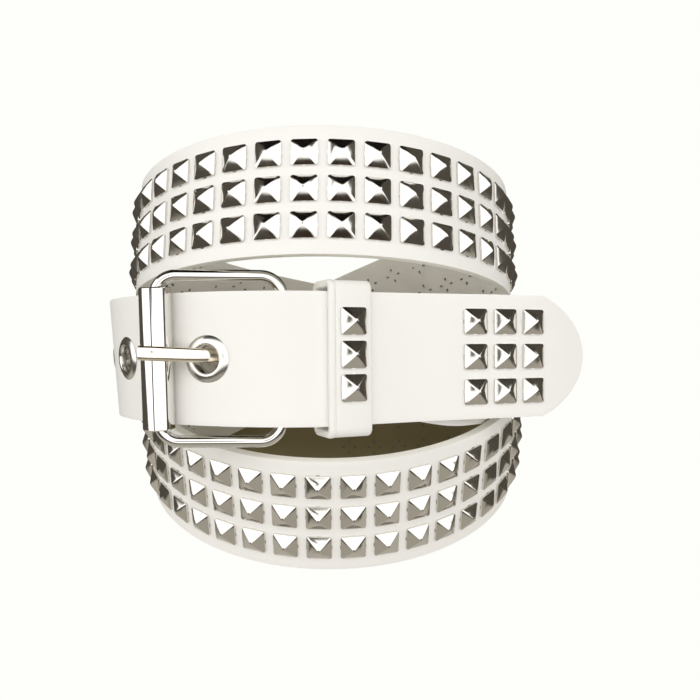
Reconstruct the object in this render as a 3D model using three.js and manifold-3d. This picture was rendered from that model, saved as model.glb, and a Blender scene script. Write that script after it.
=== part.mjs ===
// A studded belt, coiled in three turns, buckled, and lying on the back of its coil.
// Millimetres, +Z up. The turns lie side by side along Y; the buckle faces up.

import * as THREE from 'three';
import Module from 'manifold-3d';
import { mergeVertices } from 'three/addons/utils/BufferGeometryUtils.js';

const wasm = await Module();
wasm.setup();

// Strap
const strapWidth = 38;
const strapThickness = 2.6;
const tipLength = 18;            // length of the rounded end
const tipRoundness = 1.2;        // 2 makes it half an ellipse, 1 a parabola
const coilRadius = 65.5;         // radius of the turns
const plyGap = 0.4;              // air between two plies of the strap
const clearance = 0.3;           // air between pieces that touch

// Pyramid studs
const studSize = 7.7;
const studHeight = 3;
const studRim = 0.7;             // straight foot under the pyramid
const columnPitch = 10.2;        // along the strap
const rowPitch = 10.7;           // across the strap
const studRows = 3;
const fieldStart = 99.1;         // bare strap at the buckle end, with its folded part
const fieldFromEyelet = 32;      // bare strap between the last eyelet and the studs
const tipColumns = 3;
const lastColumnFromTip = 22;

// Eyelets
const eyeletCount = 5;
const eyeletFromHinge = 21;      // the eyelet in use
const eyeletPitch = 35;
const eyeletBore = 8;
const eyeletTube = 0.6;          // wall of the eyelet's tube
const eyeletFlange = 13.2;       // outer diameter
const eyeletFlangeThickness = 0.8;

// Buckle
const wire = 3.5;
const frameInnerHeight = 44;
const frameCorner = 6;
const rollerDiameter = 9;
const rollerWall = 1.6;
const rollerLength = 40.5;
const rollerFromHinge = 34;      // where the strap runs under the roller
const prongThickness = 2.6;
const prongWidth = 4.1;
const prongOverhang = 3.4;       // reach past the roller's axis
const prongClimb = 38;           // slope through the eyelet, in degrees
const prongReach = 4;            // straight length to each side of the eyelet's middle
const prongShift = 0.4;          // the prong crosses the strap off the eyelet's middle
const prongYaw = -2.5;           // turn about the hinge bar's middle, in degrees
const slotWidth = 4.6;
const slotLength = 15;

// Keeper
const keeperWidth = 13;
const keeperThickness = 2;
const keeperCorner = 1.9;
const keeperFromHinge = 19.2;
const keeperSlack = 1.4;         // air at the strap's edges
const keeperStudPitch = 9.4;
const keeperStudShift = 0.6;     // the studs sit off the keeper's middle along the strap
const keeperStudRise = 1.2;      // and across it

// Facets
const roundSides = 20;
const wireSides = 8;
const plainStep = 7;             // longest facet of bare strap
const plainTurn = 18;            // most that a facet of bare strap turns, in degrees
const tipSteps = 7;
const tipTurn = 80;              // the rounded end stops flat at this angle, in degrees

const plyPitch = strapThickness + plyGap;
const layerPitch = strapThickness + studHeight + plyGap;
const baseHeight = studHeight + strapThickness / 2;
const eyeletHole = eyeletBore + 2 * eyeletTube + 2 * clearance;

const toRadians = THREE.MathUtils.degToRad;
const yAxis = new THREE.Vector3(0, 1, 0);

// The strap's route. across and up are shares of the coil's radius, along is a share of the strap's
// width, layer counts studded plies up from the table, lean tips the strap's width towards +Z and
// flare towards +X, both in degrees.
const place = (row) => ({
  point: new THREE.Vector3(
    row.across * coilRadius,
    row.along * strapWidth,
    baseHeight + row.up * coilRadius + (row.layer ?? 0) * layerPitch),
  hint: new THREE.Vector3(
    Math.tan(toRadians(row.flare ?? 0)), 1, Math.tan(toRadians(row.lean ?? 0))),
});

// The free end in front, from the hinge bar to the tip.
const frontRows = [
  { across: -0.175, along: -0.066, up: 1.545 },
  { across: -0.085, along: -0.066, up: 1.542 },
  { across: 0.0, along: -0.066, up: 1.526 },
  { across: 0.122, along: -0.064, up: 1.478 },
  { across: 0.22, along: -0.062, up: 1.432 },
  { across: 0.427, along: -0.058, up: 1.347 },
  { across: 0.626, along: -0.054, up: 1.279 },
  { across: 0.824, along: -0.051, up: 1.212 },
  { across: 0.993, along: -0.05, up: 1.145 },
  { across: 1.145, along: -0.05, up: 1.069 },
  { across: 1.282, along: -0.05, up: 0.984 },
];
const foldEndRow = 4;            // the folded end stops under this row
const underRow = 5;              // the lower ply leaves the free end after this row

// The lower ply in front, once it has left the free end, and the right side under it.
const innerSideRows = [
  { across: 0.61, along: -0.12, up: 1.185 },
  { across: 0.743, along: -0.126, up: 1.066 },
  { across: 0.857, along: -0.132, up: 0.889 },
  { across: 0.929, along: -0.14, up: 0.681 },
  { across: 0.943, along: -0.145, up: 0.524 },
  { across: 0.92, along: -0.137, up: 0.381 },
  { across: 0.843, along: -0.12, up: 0.246 },
];

// The three passes behind, from the right side to the left.
const innerBackRows = [
  { across: 0.714, along: -0.08, up: 0.053, layer: 1 },
  { across: 0.543, along: -0.013, up: 0.007, layer: 1 },
  { across: 0.4, along: 0.04, up: 0.016, layer: 1 },
  { across: 0.257, along: 0.092, up: 0.042, layer: 1 },
  { across: 0.114, along: 0.132, up: 0.079, layer: 1 },
  { across: -0.029, along: 0.171, up: 0.004, layer: 2 },
  { across: -0.4, along: 0.303, up: 0.004, layer: 2 },
  { across: -0.6, along: 0.382, up: 0.009, layer: 2 },
  { across: -0.771, along: 0.474, up: 0.036, layer: 2 },
  { across: -0.914, along: 0.618, up: 0.131, layer: 2 },
  { across: -0.993, along: 0.763, up: 0.26, layer: 2, lean: -5 },
];
const middleBackRows = [
  { across: 0.964, along: 0.855, up: 0.424, lean: -5 },
  { across: 0.905, along: 0.803, up: 0.246 },
  { across: 0.772, along: 0.724, up: 0.094 },
  { across: 0.629, along: 0.658, up: 0.014 },
  { across: 0.514, along: 0.6, up: 0.001 },
  { across: 0.3, along: 0.442, up: 0.018 },
  { across: 0.114, along: 0.289, up: 0.058 },
  { across: -0.057, along: 0.132, up: 0.001, layer: 1 },
  { across: -0.4, along: -0.158, up: 0.001, layer: 1 },
  { across: -0.6, along: -0.329, up: 0.003, layer: 1 },
  { across: -0.77, along: -0.487, up: 0.04, layer: 1, lean: 3 },
  { across: -0.908, along: -0.592, up: 0.153, layer: 1, lean: 9 },
  { across: -0.98, along: -0.68, up: 0.324, layer: 1, lean: 16 },
];
const outerBackRows = [
  { across: 1.063, along: -0.71, up: 0.324, lean: 16 },
  { across: 1.014, along: -0.7, up: 0.153, lean: 8 },
  { across: 0.886, along: -0.72, up: 0.036 },
  { across: 0.729, along: -0.75, up: 0 },
  { across: 0.4, along: -0.785, up: 0 },
  { across: -0.029, along: -0.785, up: 0 },
  { across: -0.4, along: -0.725, up: 0 },
  { across: -0.657, along: -0.58, up: 0 },
  { across: -0.893, along: -0.41, up: 0.05 },
  { across: -1.061, along: -0.26, up: 0.19, flare: -2 },
  { across: -1.133, along: -0.145, up: 0.39, flare: -4 },
];

// The round stretches in front: the place of each ring's axis, its radius, how far the ring leans,
// and the stretch of it that the strap follows, in degrees from the top.
const topRing = {
  across: -0.018, along: 0.89, up: 0.544, radius: 0.996, lean: -9.84, from: -84, to: 84, steps: 8,
};
const bottomRing = {
  across: 0.022, along: -0.652, up: 0.329, radius: 1.041, lean: 21.62, from: -72, to: 78, steps: 8,
};
const leftRing = {
  across: -0.191, along: -0.066, up: 0.61, radius: 0.929, lean: 0, flare: -5, from: -90, to: -12, steps: 5,
};

function ringStations(ring) {
  const lean = toRadians(ring.lean);
  const centre = place(ring);
  const radius = ring.radius * coilRadius;
  const stations = [];
  for (let i = 0; i <= ring.steps; i++) {
    const angle = toRadians(ring.from + (ring.to - ring.from) * i / ring.steps);
    const rise = radius * Math.cos(angle);
    stations.push({
      point: centre.point.clone().add(new THREE.Vector3(
        radius * Math.sin(angle), -rise * Math.sin(lean), rise * Math.cos(lean))),
      hint: centre.hint,
    });
  }
  return stations;
}

// A front row moved down by a number of plies, square to the strap.
function plyStation(index, plies) {
  const here = place(frontRows[index]);
  const before = place(frontRows[Math.max(index - 1, 0)]).point;
  const after = place(frontRows[index + 1]).point;
  const down = new THREE.Vector3(after.z - before.z, 0, before.x - after.x).normalize();
  return { point: here.point.addScaledVector(down, plies * plyPitch), hint: here.hint };
}

// The fold round the hinge bar: its lower ply, a half turn, its upper ply.
const foldRadius = wire / 2 + clearance + strapThickness / 2;
const hinge = plyStation(0, 1).point;
hinge.z -= foldRadius;

function foldStations() {
  const hint = yAxis;
  const stations = [];
  for (let i = foldEndRow; i >= 1; i--) {
    const station = plyStation(i, 2);
    if (i === 1) station.point.z = hinge.z - foldRadius + plyGap;
    stations.push(station);
  }
  const foldSteps = 6;
  for (let i = 0; i <= foldSteps; i++) {
    const angle = Math.PI * i / foldSteps;
    stations.push({
      point: hinge.clone().add(new THREE.Vector3(
        -foldRadius * Math.sin(angle), 0, -foldRadius * Math.cos(angle))),
      hint,
    });
  }
  for (let i = 1; i <= underRow; i++) stations.push(plyStation(i, 1));
  return stations;
}

const stations = [
  ...foldStations(),
  ...innerSideRows.map(place),
  ...innerBackRows.map(place),
  ...ringStations(topRing),
  ...middleBackRows.map(place),
  ...ringStations(bottomRing),
  ...outerBackRows.map(place),
  ...ringStations(leftRing),
  ...frontRows.map(place),
];

// The route as a smooth curve, measured along its length.
const samplesPerStation = 24;
const centreLine = new THREE.CatmullRomCurve3(stations.map((s) => s.point), false, 'centripetal');
const hintLine = new THREE.CatmullRomCurve3(stations.map((s) => s.hint), false, 'catmullrom', 0.5);
const sampleCount = (stations.length - 1) * samplesPerStation;
const samples = [];
for (let i = 0; i <= sampleCount; i++) {
  const share = i / sampleCount;
  const point = centreLine.getPoint(share);
  const last = samples[i - 1];
  samples.push({
    point,
    hint: hintLine.getPoint(share),
    length: last ? last.length + point.distanceTo(last.point) : 0,
  });
}
const strapLength = samples[sampleCount].length;

function routeAt(length) {
  let i = 1;
  while (i < sampleCount && samples[i].length < length) i++;
  const a = samples[i - 1];
  const b = samples[i];
  const share = (length - a.length) / (b.length - a.length);
  return {
    point: a.point.clone().lerp(b.point, share),
    hint: a.hint.clone().lerp(b.hint, share),
  };
}

// Axes of the strap over a stretch: along it, across its width, and out of its studded face.
function frameOver(from, to) {
  const a = routeAt(from);
  const b = routeAt(to);
  const along = b.point.clone().sub(a.point).normalize();
  const width = a.hint.clone().add(b.hint);
  width.addScaledVector(along, -width.dot(along)).normalize();
  return {
    centre: a.point.clone().add(b.point).multiplyScalar(0.5),
    along, width,
    out: along.clone().cross(width),
  };
}

const frameAt = (length) => frameOver(
  Math.max(length - 1, 0), Math.min(length + 1, strapLength));
const fromTip = (distance) => strapLength - distance;

// Where the free end passes over the hinge bar.
const overHinge = samples[(stations.length - frontRows.length) * samplesPerStation].length;
const fromHinge = (distance) => overHinge - distance;

// Closed solid from points and triangles.
function solidGeometry(points, triangles) {
  const geometry = new THREE.BufferGeometry();
  geometry.setAttribute('position', new THREE.Float32BufferAttribute(points.flatMap((p) => p.toArray()), 3));
  geometry.setIndex(triangles.flat());
  return geometry;
}

const quad = (a, b, c, d) => [[a, b, c], [a, c, d]];

// A ring of points swept along a list of such rings, closed on itself or with flat ends.
function loftGeometry(rings, closed) {
  const points = rings.flat();
  const size = rings[0].length;
  const count = rings.length;
  const triangles = [];
  const spans = closed ? count : count - 1;
  for (let i = 0; i < spans; i++) {
    const next = ((i + 1) % count) * size;
    for (let j = 0; j < size; j++) {
      const k = (j + 1) % size;
      triangles.push(...quad(i * size + j, next + j, next + k, i * size + k));
    }
  }
  if (!closed) {
    const end = (count - 1) * size;
    for (let j = 1; j < size - 1; j++) {
      triangles.push([0, j, j + 1], [end, end + j + 1, end + j]);
    }
  }
  return solidGeometry(points, triangles);
}

// A flat path swept with a section given as pairs: along the path plane's normal, and to its side.
function sweepGeometry(path, normal, section, closed) {
  const count = path.length;
  const rings = path.map((point, i) => {
    const before = closed ? path[(i + count - 1) % count] : path[Math.max(i - 1, 0)];
    const after = closed ? path[(i + 1) % count] : path[Math.min(i + 1, count - 1)];
    const tangent = after.clone().sub(before).normalize();
    const side = normal.clone().cross(tangent);
    return section.map(([a, b]) => point.clone().addScaledVector(normal, a).addScaledVector(side, b));
  });
  return loftGeometry(rings, closed);
}

function roundSection(width, height, sides) {
  const section = [];
  for (let i = 0; i < sides; i++) {
    const angle = 2 * Math.PI * (i + 0.5) / sides;
    section.push([width / 2 * Math.cos(angle), height / 2 * Math.sin(angle)]);
  }
  return section;
}

const boxSection = (width, height) => [
  [-width / 2, -height / 2], [width / 2, -height / 2], [width / 2, height / 2], [-width / 2, height / 2]];

// A rectangle with round corners, in a plane given by its centre and two axes.
function roundedLoop(centre, uAxis, vAxis, width, height, corner, steps) {
  const path = [];
  const turns = [[1, 1, 0], [-1, 1, 90], [-1, -1, 180], [1, -1, 270]];
  for (const [u, v, start] of turns) {
    for (let i = 0; i <= steps; i++) {
      const angle = toRadians(start + 90 * i / steps);
      path.push(centre.clone()
        .addScaledVector(uAxis, u * (width / 2 - corner) + corner * Math.cos(angle))
        .addScaledVector(vAxis, v * (height / 2 - corner) + corner * Math.sin(angle)));
    }
  }
  return path;
}

function toManifold(geometry) {
  const bare = new THREE.BufferGeometry();
  bare.setAttribute('position', geometry.getAttribute('position').clone());
  if (geometry.getIndex()) bare.setIndex(geometry.getIndex().clone());
  const merged = mergeVertices(bare, 1e-4);
  return new wasm.Manifold(new wasm.Mesh({
    numProp: 3,
    vertProperties: Float32Array.from(merged.getAttribute('position').array),
    triVerts: Uint32Array.from(merged.getIndex().array),
  }));
}

function fromManifold(solid) {
  const mesh = solid.getMesh();
  const geometry = new THREE.BufferGeometry();
  geometry.setAttribute('position', new THREE.BufferAttribute(Float32Array.from(mesh.vertProperties), 3));
  geometry.setIndex(Array.from(mesh.triVerts));
  return geometry;
}

// Materials
const whiteLeather = new THREE.MeshStandardMaterial({ color: 0xf3f1ea, roughness: 0.45, metalness: 0 });
const chrome = new THREE.MeshStandardMaterial({ color: 0xc9c9c6, roughness: 0.12, metalness: 1 });

const belt = new THREE.Group();

function addPiece(name, geometry, material) {
  const mesh = new THREE.Mesh(geometry, material.clone());
  mesh.name = name;
  belt.add(mesh);
  return mesh;
}

// Middles of the eyelets, of the stud columns on the strap, and of the columns on its tip.
const eyeletPlaces = Array.from({ length: eyeletCount }, (_, i) => fromHinge(eyeletFromHinge + i * eyeletPitch));
const eyeletFlat = eyeletFlange / 2 + clearance;
const fieldColumns = Math.floor((eyeletPlaces.at(-1) - fieldFromEyelet - fieldStart) / columnPitch);
const studColumns = Array.from({ length: fieldColumns }, (_, i) => fieldStart + i * columnPitch);
const tipStudColumns = Array.from({ length: tipColumns }, (_, i) =>
  fromTip(lastColumnFromTip) - (tipColumns - 1 - i) * columnPitch);

// Lines across the strap: its edges and the sides of the stud rows, from one edge to the other.
const rowLines = [-strapWidth / 2];
for (let row = 0; row < studRows; row++) {
  const middle = (row - (studRows - 1) / 2) * rowPitch;
  rowLines.push(middle - studSize / 2, middle + studSize / 2);
}
rowLines.push(strapWidth / 2);

// Sections of the strap: where each lies, and its axes. Studs and eyelets sit on flat facets.
function strapSections() {
  const flat = (reach) => (s) => ({ from: s - reach, to: s + reach });
  const flats = [
    ...tipStudColumns.map(flat(studSize / 2)),
    ...eyeletPlaces.map(flat(eyeletFlat)),
  ];
  const seats = [...flats, ...studColumns.map(flat(studSize / 2))];
  const bare = fromTip(tipLength);
  const marks = [0, bare, ...seats.flatMap(({ from, to }) => [from, to])]
    .filter((s) => s <= bare).sort((a, b) => a - b);
  const lengths = [];
  for (let i = 0; i < marks.length - 1; i++) {
    lengths.push(marks[i]);
    if (seats.some(({ from }) => from === marks[i])) continue;
    let last = marks[i];
    for (let s = last + 1; s < marks[i + 1] - 1; s++) {
      const turn = frameAt(last).along.angleTo(frameAt(s).along);
      if (s - last < plainStep && turn < toRadians(plainTurn)) continue;
      lengths.push(s);
      last = s;
    }
  }
  lengths.push(bare);
  for (let i = 1; i <= tipSteps; i++) {
    const angle = toRadians(tipTurn * i / tipSteps);
    lengths.push(bare + tipLength * Math.sin(angle));
  }
  return lengths.map((length) => {
    const seat = flats.find(({ from, to }) => from === length || to === length);
    return { length, ...(seat ? frameOver(seat.from, seat.to) : frameAt(length)), centre: routeAt(length).point };
  });
}

function halfWidthShare(length) {
  const past = (length - fromTip(tipLength)) / tipLength;
  return past > 0 ? Math.sqrt(Math.max(1 - past ** tipRoundness, 0)) : 1;
}

// The strap with its stud field: each section is a ring of points over the studded face and back
// along the lining, and each stud stands in its own cell of the grid.
function strapGeometry() {
  const sections = strapSections();
  const rings = sections.map(({ length, centre, width, out }) => {
    const share = halfWidthShare(length);
    const at = (line, side) => centre.clone()
      .addScaledVector(width, line * share)
      .addScaledVector(out, side * strapThickness / 2);
    return [
      ...rowLines.map((line) => at(line, 1)),
      at(rowLines.at(-1), -1),
      at(rowLines[0], -1),
    ];
  });
  const points = rings.flat();
  const size = rings[0].length;
  const triangles = [];
  const studStarts = new Set(studColumns.map((s) => s - studSize / 2));
  for (let i = 0; i < sections.length - 1; i++) {
    const here = i * size;
    const next = here + size;
    for (let j = 0; j < size; j++) {
      const k = (j + 1) % size;
      const isStud = studStarts.has(sections[i].length) && j % 2 === 1 && j < 2 * studRows;
      if (!isStud) {
        triangles.push(...quad(here + j, next + j, next + k, here + k));
        continue;
      }
      const foot = [here + j, next + j, next + k, here + k];
      const corners = foot.map((index) => points[index]);
      const middle = corners.reduce((sum, p) => sum.add(p), new THREE.Vector3()).multiplyScalar(1 / 4);
      const up = corners[2].clone().sub(corners[0]).cross(corners[3].clone().sub(corners[1])).normalize();
      const rim = points.length;
      corners.forEach((p) => points.push(p.clone().addScaledVector(up, studRim)));
      const apex = points.push(middle.addScaledVector(up, studHeight)) - 1;
      for (let c = 0; c < 4; c++) {
        const d = (c + 1) % 4;
        triangles.push(...quad(foot[c], foot[d], rim + d, rim + c), [rim + c, rim + d, apex]);
      }
    }
  }
  const end = (sections.length - 1) * size;
  for (let j = 1; j < size - 1; j++) {
    triangles.push([0, j, j + 1], [end, end + j + 1, end + j]);
  }
  return solidGeometry(points, triangles);
}

// A box or cylinder placed on the strap's axes, for cutting.
function onFrame(geometry, frame, centre) {
  const basis = new THREE.Matrix4().makeBasis(frame.along, frame.width, frame.out);
  return geometry.applyMatrix4(basis.setPosition(centre));
}

function addStrap() {
  let strap = toManifold(strapGeometry());
  for (const length of eyeletPlaces) {
    const frame = frameOver(length - eyeletFlat, length + eyeletFlat);
    const hole = new THREE.CylinderGeometry(
      eyeletHole / 2, eyeletHole / 2, 4 * strapThickness, roundSides).rotateX(Math.PI / 2);
    strap = strap.subtract(toManifold(onFrame(hole, frame, frame.centre)));
  }
  const slotHeight = 2 * (foldRadius + strapThickness / 2) + plyGap / 2;
  const slot = new THREE.BoxGeometry(slotLength, slotWidth, slotHeight);
  slot.translate(
    hinge.x - foldRadius - strapThickness + slotLength / 2, hinge.y, hinge.z);
  strap = strap.subtract(toManifold(slot));
  addPiece('studded_strap', fromManifold(strap), whiteLeather);
}

// A loose stud: a square foot with a pyramid on it, standing on the plane z = 0.
function studGeometry() {
  const half = studSize / 2;
  const corners = [[-half, -half], [half, -half], [half, half], [-half, half]];
  const points = [
    ...corners.map(([x, y]) => new THREE.Vector3(x, y, 0)),
    ...corners.map(([x, y]) => new THREE.Vector3(x, y, studRim)),
    new THREE.Vector3(0, 0, studHeight),
  ];
  const triangles = [...quad(0, 3, 2, 1)];
  for (let c = 0; c < 4; c++) {
    const d = (c + 1) % 4;
    triangles.push(...quad(c, d, 4 + d, 4 + c), [4 + c, 4 + d, 8]);
  }
  return solidGeometry(points, triangles);
}

function addTipStuds() {
  let number = 1;
  for (const length of tipStudColumns) {
    const frame = frameOver(length - studSize / 2, length + studSize / 2);
    for (let row = 0; row < studRows; row++) {
      const centre = frame.centre.clone()
        .addScaledVector(frame.width, (row - (studRows - 1) / 2) * rowPitch)
        .addScaledVector(frame.out, strapThickness / 2 + clearance);
      addPiece(`tip_stud_${number++}`, onFrame(studGeometry(), frame, centre), chrome);
    }
  }
}

// An eyelet turned about its bore: a tube through the strap with a flange on both faces.
function addEyelets() {
  const bore = eyeletBore / 2;
  const tube = bore + eyeletTube;
  const flange = eyeletFlange / 2;
  const seat = strapThickness / 2 + clearance;
  const face = seat + eyeletFlangeThickness;
  const profile = [
    [bore, -face], [flange, -seat - eyeletFlangeThickness / 2], [flange, -seat], [tube, -seat],
    [tube, seat], [flange, seat], [flange, seat + eyeletFlangeThickness / 2], [bore, face], [bore, -face],
  ].map(([x, y]) => new THREE.Vector2(x, y));
  eyeletPlaces.forEach((length, i) => {
    const frame = frameOver(length - eyeletFlat, length + eyeletFlat);
    const ring = new THREE.LatheGeometry(profile, roundSides).rotateX(Math.PI / 2);
    addPiece(`eyelet_${i + 1}`, onFrame(ring, frame, frame.centre), chrome);
  });
}

// Buckle: the roller lies on the strap, the hinge bar lies in the fold.
const rollerFrame = frameAt(fromHinge(rollerFromHinge));
const rollerAxis = rollerFrame.centre.clone().addScaledVector(
  rollerFrame.out, strapThickness / 2 + clearance + rollerDiameter / 2);
rollerAxis.y = hinge.y;
const rollerTwist = rollerFrame.width.clone().sub(yAxis);

function addBuckle() {
  const across = rollerAxis.clone().sub(hinge);
  const length = across.length();
  const uAxis = across.clone().normalize();
  const normal = uAxis.clone().cross(yAxis);
  const centre = rollerAxis.clone().add(hinge).multiplyScalar(1 / 2);
  const cornerSteps = 4;
  const loop = roundedLoop(
    centre, uAxis, yAxis, length, frameInnerHeight + wire, frameCorner, cornerSteps);
  for (const point of loop) {
    const share = point.clone().sub(hinge).dot(uAxis) / length;
    point.addScaledVector(rollerTwist, share * (point.y - hinge.y));
  }
  addPiece('buckle_frame', sweepGeometry(loop, normal, roundSection(wire, wire, wireSides), true), chrome);

  const outer = rollerDiameter / 2;
  const inner = outer - rollerWall;
  const half = rollerLength / 2;
  const profile = [[inner, -half], [outer, -half], [outer, half], [inner, half], [inner, -half]];
  const roller = new THREE.LatheGeometry(profile.map(([x, y]) => new THREE.Vector2(x, y)), roundSides);
  roller.applyQuaternion(new THREE.Quaternion().setFromUnitVectors(yAxis, rollerFrame.width));
  roller.translate(rollerAxis.x, rollerAxis.y, rollerAxis.z);
  addPiece('roller', roller, chrome);
}

// The prong: hooked round the hinge bar, up through the eyelet in use, and level over the roller.
function addProng() {
  const eyeRadius = wire / 2 + clearance + prongThickness / 2;
  const rollerReach = rollerDiameter / 2 + clearance + prongThickness / 2;
  const path = [];
  const hookSteps = 8;
  const hookStart = 140;
  for (let i = 0; i <= hookSteps; i++) {
    const angle = toRadians(hookStart - (hookStart + 90) * i / hookSteps);
    path.push(hinge.clone().add(new THREE.Vector3(
      eyeRadius * Math.cos(angle), 0, eyeRadius * Math.sin(angle))));
  }
  const eyelet = frameOver(eyeletPlaces[0] - eyeletFlat, eyeletPlaces[0] + eyeletFlat);
  const hole = eyelet.centre.clone().addScaledVector(eyelet.along, prongShift);
  hole.y = hinge.y;
  const climb = new THREE.Vector3(-Math.cos(toRadians(prongClimb)), 0, Math.sin(toRadians(prongClimb)));
  path.push(hole.clone().addScaledVector(climb, -prongReach));
  path.push(hole.clone().addScaledVector(climb, prongReach));

  const fromAxis = path.at(-1).clone().sub(rollerAxis);
  const touch = Math.atan2(fromAxis.z, fromAxis.x) + Math.acos(rollerReach / fromAxis.length());
  const overSteps = 2;
  for (let i = 0; i <= overSteps; i++) {
    const angle = touch + (Math.PI / 2 - touch) * i / overSteps;
    path.push(rollerAxis.clone().add(new THREE.Vector3(
      rollerReach * Math.cos(angle), 0, rollerReach * Math.sin(angle))));
  }
  path.push(path.at(-1).clone().add(new THREE.Vector3(-prongOverhang, 0, 0)));
  const prong = sweepGeometry(path, yAxis, roundSection(prongWidth, prongThickness, wireSides), false);
  prong.translate(-hinge.x, -hinge.y, 0).rotateZ(toRadians(prongYaw)).translate(hinge.x, hinge.y, 0);
  addPiece('prong', prong, chrome);
}

// The keeper: a loop of strap round the free end, the lower ply and the folded end.
function addKeeper() {
  const length = fromHinge(-keeperFromHinge);
  const frame = frameOver(length - keeperWidth / 2, length + keeperWidth / 2);
  const above = strapThickness / 2 + clearance;
  const below = above + 2 * (plyPitch + clearance);
  const centre = frame.centre.clone().addScaledVector(frame.out, (above - below) / 2);
  const height = strapWidth + 2 * keeperSlack + keeperThickness;
  const depth = above + below + keeperThickness;
  const cornerSteps = 3;
  const loop = roundedLoop(
    centre, frame.width, frame.out, height, depth, keeperCorner, cornerSteps);
  addPiece('keeper', sweepGeometry(
    loop, frame.along.clone().negate(), boxSection(keeperWidth, keeperThickness), true), whiteLeather);
  for (let row = 0; row < studRows; row++) {
    const seat = frame.centre.clone()
      .addScaledVector(frame.along, keeperStudShift)
      .addScaledVector(frame.width, keeperStudRise + (row - (studRows - 1) / 2) * keeperStudPitch)
      .addScaledVector(frame.out, above + keeperThickness + clearance);
    addPiece(`keeper_stud_${row + 1}`, onFrame(studGeometry(), frame, seat), chrome);
  }
}

addStrap();
addTipStuds();
addEyelets();
addBuckle();
addProng();
addKeeper();

// The origin lies at the middle of the belt's foot.
const bounds = new THREE.Box3().setFromObject(belt);
const foot = bounds.getCenter(new THREE.Vector3());
belt.position.set(-foot.x, -foot.y, -bounds.min.z);

export default belt;
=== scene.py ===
import math
from bisect import bisect_left

import bmesh
import bpy
from mathutils import Matrix, Vector


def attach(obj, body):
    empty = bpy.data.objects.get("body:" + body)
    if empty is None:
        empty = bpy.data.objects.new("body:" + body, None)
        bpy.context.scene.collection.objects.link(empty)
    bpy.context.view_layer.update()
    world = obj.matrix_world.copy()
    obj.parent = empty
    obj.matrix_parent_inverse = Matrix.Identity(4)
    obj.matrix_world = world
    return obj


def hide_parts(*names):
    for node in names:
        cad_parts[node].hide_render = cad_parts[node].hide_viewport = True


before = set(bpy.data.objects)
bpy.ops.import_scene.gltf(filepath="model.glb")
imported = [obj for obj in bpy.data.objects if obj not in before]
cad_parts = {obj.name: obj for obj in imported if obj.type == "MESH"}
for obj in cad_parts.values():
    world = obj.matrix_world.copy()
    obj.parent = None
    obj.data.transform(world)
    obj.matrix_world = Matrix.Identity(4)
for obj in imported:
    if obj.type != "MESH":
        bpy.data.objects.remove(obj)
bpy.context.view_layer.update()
scene = bpy.context.scene
mm = 0.001

# The sizes that pieces share, as in the solid model
belt = {
    "width": 38,
    "thickness": 2.6,
    "tipLength": 18,            # length of the rounded end
    "tipRoundness": 1.2,        # 2 makes it half an ellipse, 1 a parabola
    "coilRadius": 65.5,
    "plyGap": 0.4,              # air between two plies
    "clearance": 0.3,
    "studSize": 7.7,
    "studHeight": 3,
    "studRim": 0.7,
    "columnPitch": 10.2,        # along the strap
    "rowPitch": 10.7,           # across it
    "studRows": 3,
    "wire": 3.5,                # buckle wire
    "place": (-3.4867, 2.0627, 0.2307),  # the coil in the model's frame
}
plyPitch = belt["thickness"] + belt["plyGap"]
layerPitch = belt["thickness"] + belt["studHeight"] + belt["plyGap"]
baseHeight = belt["studHeight"] + belt["thickness"] / 2
yAxis = Vector((0, 1, 0))
mergeDistance = 0.001


def toLinear(hexColour):
    parts = [int(hexColour[i:i + 2], 16) / 255 for i in (1, 3, 5)]
    return tuple(c / 12.92 if c <= 0.04045 else ((c + 0.055) / 1.055) ** 2.4 for c in parts) + (1.0,)


def addNode(tree, kind, settings=None, inputs=None):
    node = tree.nodes.new(kind)
    for key, value in (settings or {}).items():
        setattr(node, key, value)
    for key, value in (inputs or {}).items():
        if isinstance(value, bpy.types.NodeSocket):
            tree.links.new(value, node.inputs[key])
        else:
            node.inputs[key].default_value = value
    return node


def newMaterial(name):
    material = bpy.data.materials.new(name)
    material.use_nodes = True
    material.node_tree.nodes.clear()
    return material, material.node_tree


# The matrix that sets a mesh built about the origin on three axes at a centre
def axesMatrix(centre, x, y, z):
    matrix = Matrix((x, y, z)).transposed().to_4x4()
    matrix.translation = centre
    return matrix


def finishPiece(bm, name, materials, nodes, smoothAngle=None):
    mesh = bpy.data.meshes.new(name)
    bmesh.ops.scale(bm, vec=(mm, mm, mm), verts=bm.verts)
    bmesh.ops.translate(bm, vec=Vector(belt["place"]) * mm, verts=bm.verts)
    bm.to_mesh(mesh)
    bm.free()
    for material in materials:
        mesh.materials.append(material)
    mesh.shade_smooth()
    if smoothAngle is not None:
        mesh.set_sharp_from_angle(angle=math.radians(smoothAngle))
    piece = bpy.data.objects.new(name, mesh)
    scene.collection.objects.link(piece)
    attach(piece, "root")
    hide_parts(*nodes)
    return piece


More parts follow.
